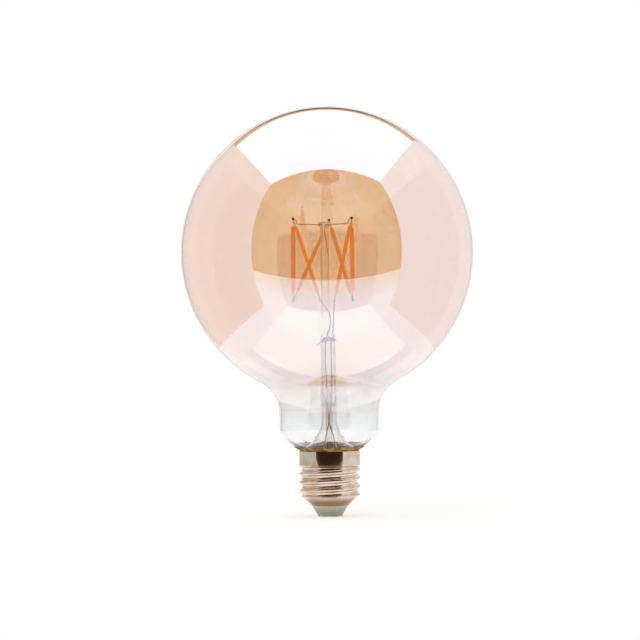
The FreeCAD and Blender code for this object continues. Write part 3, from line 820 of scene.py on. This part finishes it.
@dataclass
class CementCollar:
    """The cement that stands above the cap's rim, with a jagged upper edge on the glass.

    The waves of its edge are counted over one radius of a circle round the axis, and those of
    its grit over a radian of turn and a millimetre of height.
    """

    glass: GlassGlobe
    foot_height: float = 28.1 * MM
    mean_height: float = 29.9 * MM
    ragged: float = 0.6 * MM
    thickness: float = 0.22 * MM
    foot_thickness: float = 1.05
    tucked: float = 0.02 * MM
    broad_waves: float = 3.1
    broad_share: float = 0.55
    fine_waves: float = 17.0
    fine_share: float = 0.45
    spike_waves: float = 9.0
    spike_from: float = 0.25
    spike_gain: float = 2.0
    grit: float = 0.4
    grit_around: float = 14.0
    grit_upward: float = 2.2
    around: int = 480
    rows: int = 8
    seed: float = 7.3

    def glass_radius(self, height: float) -> float:
        """Find the outer radius of the glass at a height just above the cap.

        Args:
            height: the height, in metres.

        Returns:
            The radius, in metres.
        """
        glass = self.glass
        rise = max(height - glass.lip_height, 0.0)
        if rise < glass.lip_rise:
            return glass.mouth_diameter / 2 + glass.lip_run * rise / glass.lip_rise
        run = (rise - glass.lip_rise) * glass.taper_run / glass.taper_rise
        return glass.mouth_diameter / 2 + glass.lip_run + run

    def edge_height(self, turn: float) -> float:
        """Find how high the cement stands at an angle round the axis.

        Args:
            turn: the angle, in radians.

        Returns:
            The height, in metres.
        """
        here = Vector((math.cos(turn), math.sin(turn), self.seed))
        broad = noise.noise(here * self.broad_waves)
        fine = noise.noise(here * self.fine_waves)
        spike = max(noise.noise(here * self.spike_waves) - self.spike_from, 0.0) * self.spike_gain
        return self.mean_height + self.ragged * (self.broad_share * broad + self.fine_share * fine + spike)

    def build(self) -> None:
        """Lay the collar on the glass, thicker below and thin at its edge."""
        mesh = bmesh.new()
        columns = []
        for i in range(self.around):
            turn = 2 * math.pi * i / self.around
            top = self.edge_height(turn)
            column = []
            for row in range(self.rows + 1):
                share = row / self.rows
                height = self.foot_height + (top - self.foot_height) * share
                spot = Vector((turn * self.grit_around, height / MM * self.grit_upward, self.seed))
                grit = 1 + self.grit * noise.noise(spot)
                radius = self.glass_radius(height) + self.thickness * (self.foot_thickness - share**3) * grit
                column.append(mesh.verts.new((radius * math.cos(turn), radius * math.sin(turn), height)))
            edge = self.glass_radius(top) - self.tucked
            column.append(mesh.verts.new((edge * math.cos(turn), edge * math.sin(turn), top)))
            columns.append(column)
        for i, column in enumerate(columns):
            following = columns[(i + 1) % self.around]
            for row in range(self.rows + 1):
                mesh.faces.new((column[row], following[row], following[row + 1], column[row + 1]))
        made = bpy.data.meshes.new("cement_collar")
        mesh.normal_update()
        mesh.to_mesh(made)
        mesh.free()
        made.polygons.foreach_set("use_smooth", [True] * len(made.polygons))
        piece = link_piece("cement_collar", made)
        dress(piece, Finishes.CEMENT)
        settle(piece)


@dataclass
class FilamentCrown:
    """The coats of the six filaments: silicone dipped over a strip, with a low swell over each chip."""

    count: int = 6
    ripple: float = 0.035
    chip_pitch: float = Finishes.PHOSPHOR.value.chip_pitch * MM
    step: float = 0.15 * MM
    end_length: float = 0.45 * MM
    end_scale: float = 0.2
    corner: float = 0.5 * MM
    corner_steps: int = 5

    def coat(self) -> Tree:
        """Make the tree that runs a rounded section along a strip, swelling at each chip.

        Returns:
            The tree.
        """
        tree, given = open_tree(
            "filament_coat",
            {
                "Width": "NodeSocketFloat",
                "Thickness": "NodeSocketFloat",
                "Corner": "NodeSocketFloat",
                "Corner Steps": "NodeSocketInt",
                "Ripple": "NodeSocketFloat",
                "Chip Pitch": "NodeSocketFloat",
                "Step": "NodeSocketFloat",
                "End Length": "NodeSocketFloat",
                "End Scale": "NodeSocketFloat",
                "Facing": "NodeSocketVector",
                "Finish": "NodeSocketMaterial",
            },
        )
        line = add_node(tree, "GeometryNodeMeshToCurve", None, {0: given["Start"]})
        spaced = {"Curve": line.outputs[0], "Length": given["Step"]}
        fine = add_node(tree, "GeometryNodeResampleCurve", {"mode": "LENGTH"}, spaced)
        faced = {"Curve": fine.outputs[0], "Normal": given["Facing"]}
        flat = add_node(tree, "GeometryNodeSetCurveNormal", {"mode": "FREE"}, faced)
        along = add_node(tree, "GeometryNodeSplineParameter").outputs["Length"]
        whole = add_node(tree, "GeometryNodeSplineLength").outputs["Length"]
        # The section's scale at each point: a step's operation, and what it works on by name
        values = {"along": along, "whole": whole, "pitch": given["Chip Pitch"], "ripple": given["Ripple"]}
        values |= {"end": given["End Length"], "least": given["End Scale"]}
        steps = (
            ("chips", "DIVIDE", ("along", "pitch")),
            ("turn", "MULTIPLY", ("chips", 2 * math.pi)),
            ("wave", "SINE", ("turn",)),
            ("swell", "MULTIPLY_ADD", ("wave", "ripple", 1.0)),
            ("rest", "SUBTRACT", ("whole", "along")),
            ("near", "MINIMUM", ("along", "rest")),
            ("reach", "DIVIDE", ("near", "end")),
            ("dipped", "MINIMUM", ("reach", 1.0)),
            # A quarter circle, so that the dipped ends are round
            ("back", "SUBTRACT", (1.0, "dipped")),
            ("square", "MULTIPLY", ("back", "back")),
            ("left", "SUBTRACT", (1.0, "square")),
            ("rounded", "SQRT", ("left",)),
            ("scale", "MULTIPLY", ("swell", "rounded")),
            ("kept", "MAXIMUM", ("scale", "least")),
        )
        for name, operation, terms in steps:
            inputs = {i: values.get(term, term) for i, term in enumerate(terms)}
            values[name] = add_node(tree, "ShaderNodeMath", {"operation": operation}, inputs).outputs[0]
        sides = {"Width": given["Thickness"], "Height": given["Width"]}
        box = add_node(tree, "GeometryNodeCurvePrimitiveQuadrilateral", None, sides)
        corners = {"Curve": box.outputs[0], "Count": given["Corner Steps"], "Radius": given["Corner"]}
        section = add_node(tree, "GeometryNodeFilletCurve", {"mode": "POLY"}, corners)
        swept = {
            "Curve": flat.outputs[0],
            "Profile Curve": section.outputs[0],
            "Scale": values["kept"],
            "Fill Caps": True,
        }
        skin = add_node(tree, "GeometryNodeCurveToMesh", None, swept)
        done = close_tree(tree, skin, given["Finish"])
        add_node(tree, "NodeGroupOutput", None, {0: done.outputs[0]})
        return tree

    def strip(self, node: str) -> tuple[Vector, Vector, Vector, float, float]:
        """Read where a filament's strip lies in the frame.

        Args:
            node: the frame's node.

        Returns:
            Its two ends, the way that its flat side faces, its width and its thickness.
        """
        corners = [v.co.copy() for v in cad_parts[node].data.vertices]
        middle = sum(corners, Vector()) / len(corners)
        upper = [c for c in corners if c.z > middle.z]
        lower = [c for c in corners if c.z <= middle.z]
        axis = (sum(upper, Vector()) / len(upper) - sum(lower, Vector()) / len(lower)).normalized()
        reach = [(c - middle).dot(axis) for c in corners]
        side = axis.orthogonal().normalized()
        other = axis.cross(side)
        widths = []
        for degree in range(180):
            way = side * math.cos(math.radians(degree)) + other * math.sin(math.radians(degree))
            spread = [(c - middle).dot(way) for c in corners]
            widths.append((max(spread) - min(spread), degree, way))
        thickness, degree, facing = min(widths, key=lambda w: w[0])
        width = widths[(degree + 90) % 180][0]
        return middle + axis * min(reach), middle + axis * max(reach), facing, width, thickness

    def build(self) -> None:
        """Coat each strip in its own place."""
        tree = self.coat()
        for index in range(1, self.count + 1):
            node = f"filament_{index}"
            bottom, top, facing, width, thickness = self.strip(node)
            sizes = {
                "Width": width,
                "Thickness": thickness,
                "Corner": self.corner,
                "Corner Steps": self.corner_steps,
                "Ripple": self.ripple,
                "Chip Pitch": self.chip_pitch,
                "Step": self.step,
                "End Length": self.end_length,
                "End Scale": self.end_scale,
                "Facing": facing,
                "Finish": Finishes.PHOSPHOR.value.material(),
            }
            start = polyline(f"filament_line_{index}", [bottom, top])
            piece = grow(f"filament_coat_{index}", start, tree, sizes)
            settle(piece, [node])


@dataclass
class TieWire:
    """The wire that was twisted round the top of the stem, with its two ends left long."""

    diameter: float = 0.35 * MM
    tube_radius: float = 3.2 * MM
    height: float = 75.3 * MM
    tilt: float = 0.3 * MM
    climb: float = 0.8 * MM
    start_turn: float = 200.0
    turns: float = 1.33
    around: int = 48
    sides: int = 12
    step: float = 0.12 * MM
    left_tail: tuple[float, float, float] = (-2.1 * MM, -0.7 * MM, -1.5 * MM)
    right_tail: tuple[float, float, float] = (1.4 * MM, -0.5 * MM, -0.9 * MM)

    def wire(self) -> Tree:
        """Make the tree that runs a round wire along a path.

        Returns:
            The tree.
        """
        tree, given = open_tree(
            "bent_wire",
            {
                "Diameter": "NodeSocketFloat",
                "Sides": "NodeSocketInt",
                "Step": "NodeSocketFloat",
                "Finish": "NodeSocketMaterial",
            },
        )
        line = add_node(tree, "GeometryNodeMeshToCurve", None, {0: given["Start"]})
        soft = add_node(tree, "GeometryNodeCurveSplineType", {"spline_type": "NURBS"}, {0: line.outputs[0]})
        spaced = {"Curve": soft.outputs[0], "Length": given["Step"]}
        fine = add_node(tree, "GeometryNodeResampleCurve", {"mode": "LENGTH"}, spaced)
        half = {0: given["Diameter"], 1: 0.5}
        radius = add_node(tree, "ShaderNodeMath", {"operation": "MULTIPLY"}, half)
        ring = {"Resolution": given["Sides"], "Radius": radius.outputs[0]}
        section = add_node(tree, "GeometryNodeCurvePrimitiveCircle", None, ring)
        swept = {"Curve": fine.outputs[0], "Profile Curve": section.outputs[0], "Fill Caps": True}
        skin = add_node(tree, "GeometryNodeCurveToMesh", None, swept)
        done = close_tree(tree, skin, given["Finish"])
        add_node(tree, "NodeGroupOutput", None, {0: done.outputs[0]})
        return tree

    def route(self) -> list[Vector]:
        """Lay the wire's path: a tail, a turn and a third round the tube, and a tail.

        Returns:
            The path's points, in metres.
        """
        reach = self.tube_radius + self.diameter / 2
        path = []
        total = self.turns * 2 * math.pi
        for i in range(self.around + 1):
            share = i / self.around
            turn = math.radians(self.start_turn) + total * share
            lift = self.tilt * math.cos(turn) + self.climb * (share - 0.5)
            path.append(Vector((reach * math.cos(turn), reach * math.sin(turn), self.height + lift)))
        first = path[0] + Vector(self.left_tail)
        last = path[-1] + Vector(self.right_tail)
        return [first, (first + path[0]) / 2, *path, (last + path[-1]) / 2, last]

    def build(self) -> None:
        """Bend the wire, and replace the frame's plain ring."""
        sizes = {
            "Diameter": self.diameter,
            "Sides": self.sides,
            "Step": self.step,
            "Finish": Finishes.LEAD.value.material(),
        }
        piece = grow("tie_wire", polyline("tie_route", self.route()), self.wire(), sizes)
        settle(piece, ["stem_tie"])


@dataclass
class CarriedPieces:
    """The frame's own nodes whose shape stays, each with the finish of what it is made of.

    A family is a row of nodes whose names differ in their last number.
    """

    finishes: dict[str, Finishes] = field(
        default_factory=lambda: {
            "glass_stem": Finishes.STEM_GLASS,
            "exhaust_tube": Finishes.STEM_GLASS,
            "weld_beads": Finishes.BEAD,
            "lead_wire_left": Finishes.LEAD,
            "lead_wire_right": Finishes.LEAD,
            "cement_ring": Finishes.CEMENT,
            "cap_shell": Finishes.PLATE,
            "cap_insulator": Finishes.INSULATOR,
            "centre_contact": Finishes.CONTACT,
            "contact_solder": Finishes.SOLDER,
            "driver_board": Finishes.BOARD,
            "smoothing_capacitor": Finishes.SLEEVE,
            "bridge_rectifier": Finishes.CHIP,
            "driver_chip": Finishes.CHIP,
            "fusible_resistor": Finishes.RESISTOR,
            "chip_resistors": Finishes.CERAMIC,
            "live_wire": Finishes.CABLE,
            "neutral_wire": Finishes.CABLE,
        }
    )
    families: dict[str, Finishes] = field(
        default_factory=lambda: {
            "filament_pins_": Finishes.WIRE,
            "support_wire_": Finishes.WIRE,
        }
    )

    def build(self) -> None:
        """Dress every node whose shape is kept."""
        for name, piece in sorted(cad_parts.items()):
            finish = self.finishes.get(name) or self.families.get(name.rstrip("0123456789"))
            if finish is not None:
                dress(piece, finish)
                LOG.info("%s: %s", name, finish.name)


@dataclass
class LightBox:
    """A white table with a cloth panel on each side, one above and one behind, open in front.

    Only what a surface mirrors shows the panels and the dark room beyond: seen straight, or
    through the glass, everything round the bulb is white.
    """

    left: float = -136.0 * MM
    right: float = 130.0 * MM
    front: float = -112.0 * MM
    top_back: float = 172.0 * MM
    back: float = 250.0 * MM
    height: float = 280.0 * MM
    back_height: float = 264.0 * MM
    table_front: float = -303.0 * MM
    table_back: float = 900.0 * MM
    table_side: float = 700.0 * MM
    table_albedo: float = 0.6
    # The warm tone of the painted shade at the table's front edge, in what is mirrored
    table_edge_shade: str = "#F1D7BF"
    table_shade_to: float = -80.0 * MM
    left_level: float = 0.6
    right_level: float = 0.8
    top_level: float = 1.5
    back_level: float = 0.9
    room: str = "#34231C"
    plain_level: float = 0.85
    lamp_size: float = 0.8
    lamp_power: float = 1.5
    lamp_place: tuple[float, float, float] = (-0.35, -0.25, 0.9)
    lamp_aim: tuple[float, float, float] = (0.0, 0.0, 0.08)

    def build(self) -> None:
        """Build table, panels, room and lamp."""
        self.table()
        left, right, front, back, top = self.left, self.right, self.front, self.back, self.height
        sides = (("left_panel", left, self.left_level), ("right_panel", right, self.right_level))
        for name, x, level in sides:
            self.panel(name, [(x, front, 0), (x, back, 0), (x, back, top), (x, front, top)], level)
        over = self.top_back
        roof = [(left, front, top), (right, front, top), (right, over, top), (left, over, top)]
        self.panel("top_panel", roof, self.top_level)
        high = self.back_height
        wall = [(left, back, 0), (right, back, 0), (right, back, high), (left, back, high)]
        self.panel("back_panel", wall, self.back_level)
        self.room_beyond()
        self.lamp()
        # Blurred paths lose the light that reaches the filaments through the coated glass
        bpy.context.scene.cycles.blur_glossy = 0.0

    def flat(self, name: str, corners: Sequence[Sequence[float]]) -> tuple[Piece, Tree]:
        """Stage one flat face with an empty material.

        Args:
            name: the face's name.
            corners: its corners, in metres.

        Returns:
            The face, and its material's tree.
        """
        mesh = bpy.data.meshes.new(name)
        mesh.from_pydata([tuple(c) for c in corners], [], [tuple(range(len(corners)))])
        piece = link_piece(name, mesh)
        cloth = bpy.data.materials.new(name)
        cloth.use_nodes = True
        cloth.cycles.emission_sampling = "NONE"
        cloth.node_tree.nodes.clear()
        mesh.materials.append(cloth)
        return piece, cloth.node_tree

    def table(self) -> None:
        """Lay the table: it looks white, and keeps a part of each shadow.

        What the bulb mirrors of it is painted darker and warm towards its front edge: painted shade, as of
        light that falls off there.
        """
        x, front, back = self.table_side, self.table_front, self.table_back
        _, tree = self.flat("table_top", [(-x, front, 0), (x, front, 0), (x, back, 0), (-x, back, 0)])
        # Painted shade: in what is mirrored, the table darkens to a warm tone towards its front edge
        fall = {"Value": own_place(tree, Axis.DEEP), "From Min": front, "From Max": self.table_shade_to}
        far = add_node(tree, "ShaderNodeMapRange", Ease.SOFT.value, fall).outputs["Result"]
        edge_shade = {0: far, 6: tone(self.table_edge_shade), 7: tone(WHITE)}
        shade = add_node(tree, "ShaderNodeMix", TWO_TONES, edge_shade).outputs[2]
        parts = {0: self.mirrored_only(tree), 6: tone(WHITE), 7: shade}
        seen = add_node(tree, "ShaderNodeMix", TWO_TONES, parts).outputs[2]
        grey = {0: seen, "Scale": self.table_albedo}
        paint = add_node(tree, "ShaderNodeVectorMath", {"operation": "SCALE"}, grey).outputs[0]
        matt = add_node(tree, "ShaderNodeBsdfDiffuse", None, {"Color": paint})
        path = add_node(tree, "ShaderNodeLightPath").outputs
        missing = 1 - self.table_albedo * self.plain_level
        hidden = {0: path["Is Diffuse Ray"], 1: -missing, 2: missing}
        level = add_node(tree, "ShaderNodeMath", {"operation": "MULTIPLY_ADD"}, hidden).outputs[0]
        glow = add_node(tree, "ShaderNodeEmission", None, {"Color": seen, "Strength": level})
        both = add_node(tree, "ShaderNodeAddShader", None, {0: matt.outputs[0], 1: glow.outputs[0]})
        add_node(tree, "ShaderNodeOutputMaterial", None, {"Surface": both.outputs[0]})

    def mirrored_only(self, tree: Tree) -> Socket:
        """Tell a path that the bulb has mirrored from any other.

        Args:
            tree: the material's tree, or the world's.

        Returns:
            One on such a path, and nought on any other.
        """
        path = add_node(tree, "ShaderNodeLightPath").outputs
        test = {0: path["Glossy Depth"], 1: 0.5}
        return add_node(tree, "ShaderNodeMath", {"operation": "GREATER_THAN"}, test).outputs[0]

    def panel(self, name: str, corners: Sequence[Sequence[float]], level: float) -> None:
        """Stretch one cloth panel, which shows only in what is mirrored.

        Args:
            name: the panel's name.
            corners: its corners, in metres.
            level: how bright it looks.
        """
        piece, tree = self.flat(name, corners)
        piece.visible_shadow = False
        clear = add_node(tree, "ShaderNodeBsdfTransparent")
        glow = add_node(tree, "ShaderNodeEmission", None, {"Strength": level})
        shown = {0: self.mirrored_only(tree), 1: clear.outputs[0], 2: glow.outputs[0]}
        cloth = add_node(tree, "ShaderNodeMixShader", None, shown)
        add_node(tree, "ShaderNodeOutputMaterial", None, {"Surface": cloth.outputs[0]})

    def room_beyond(self) -> None:
        """Make all beyond white when seen straight, dark when mirrored, and plain to matte faces."""
        world = bpy.data.worlds.new("room")
        bpy.context.scene.world = world
        world.use_nodes = True
        world.cycles.sampling_method = "NONE"
        tree = world.node_tree
        tree.nodes.clear()
        path = add_node(tree, "ShaderNodeLightPath").outputs
        far = {0: self.mirrored_only(tree), 6: tone(WHITE), 7: tone(self.room)}
        seen = add_node(tree, "ShaderNodeMix", TWO_TONES, far).outputs[2]
        plain = {0: path["Is Diffuse Ray"], 6: seen, 7: tone(WHITE, self.plain_level)}
        colour = add_node(tree, "ShaderNodeMix", TWO_TONES, plain).outputs[2]
        back = add_node(tree, "ShaderNodeBackground", None, {"Color": colour})
        add_node(tree, "ShaderNodeOutputWorld", None, {"Surface": back.outputs[0]})

    def lamp(self) -> None:
        """Hang one large lamp above and to the left, which shapes what is matte."""
        lamp = bpy.data.lights.new("overhead_lamp", "AREA")
        lamp.size = self.lamp_size
        lamp.energy = self.lamp_power
        hung = bpy.data.objects.new("overhead_lamp", lamp)
        hung.location = self.lamp_place
        aim = Vector(self.lamp_aim) - hung.location
        hung.rotation_euler = aim.to_track_quat("-Z", "Y").to_euler()
        hung.visible_camera = False
        hung.visible_glossy = False
        hung.visible_transmission = False
        bpy.context.scene.collection.objects.link(hung)


@dataclass
class PhotoCamera:
    """A level camera with a long lens, which hangs a little out of true as the photograph's does."""

    focal: float = 150.0
    sensor: float = 36.0
    near_clip: float = 0.05
    frame_pixels: int = 640
    pixel: float = 0.4288 * MM
    centre_x: float = 327.0
    centre_y: float = 252.7
    roll: float = 0.72

    def build(self) -> None:
        """Place the camera by the globe's centre, and make it the scene's own."""
        data = bpy.data.cameras.new("photo_camera")
        data.lens = self.focal
        data.sensor_width = self.sensor
        data.clip_start = self.near_clip
        made = bpy.data.objects.new("photo_camera", data)
        low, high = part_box("glass_globe")
        globe = Vector((0, 0, high.z - (high.x - low.x) / 2))
        turn = math.radians(self.roll)
        across = Vector((math.cos(turn), 0, -math.sin(turn)))
        up = Vector((math.sin(turn), 0, math.cos(turn)))
        middle = self.frame_pixels / 2
        shift = across * (middle - self.centre_x) + up * (self.centre_y - middle)
        distance = self.focal / self.sensor * self.frame_pixels * self.pixel
        made.location = globe + shift * self.pixel - Vector((0, distance, 0))
        made.rotation_euler = (math.pi / 2, turn, 0)
        bpy.context.scene.collection.objects.link(made)
        bpy.context.scene.camera = made


def main() -> None:
    """Build and dress the bulb, then light it and place the camera."""
    logging.basicConfig(level=logging.INFO, format="%(name)s %(message)s")
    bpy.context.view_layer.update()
    PhotoCamera().build()
    CarriedPieces().build()
    glass = GlassGlobe()
    glass.build()
    CementCollar(glass).build()
    FilamentCrown().build()
    TieWire().build()
    LightBox().build()
    bpy.context.scene.view_settings.view_transform = "Standard"


if __name__ == "__main__":
    main()
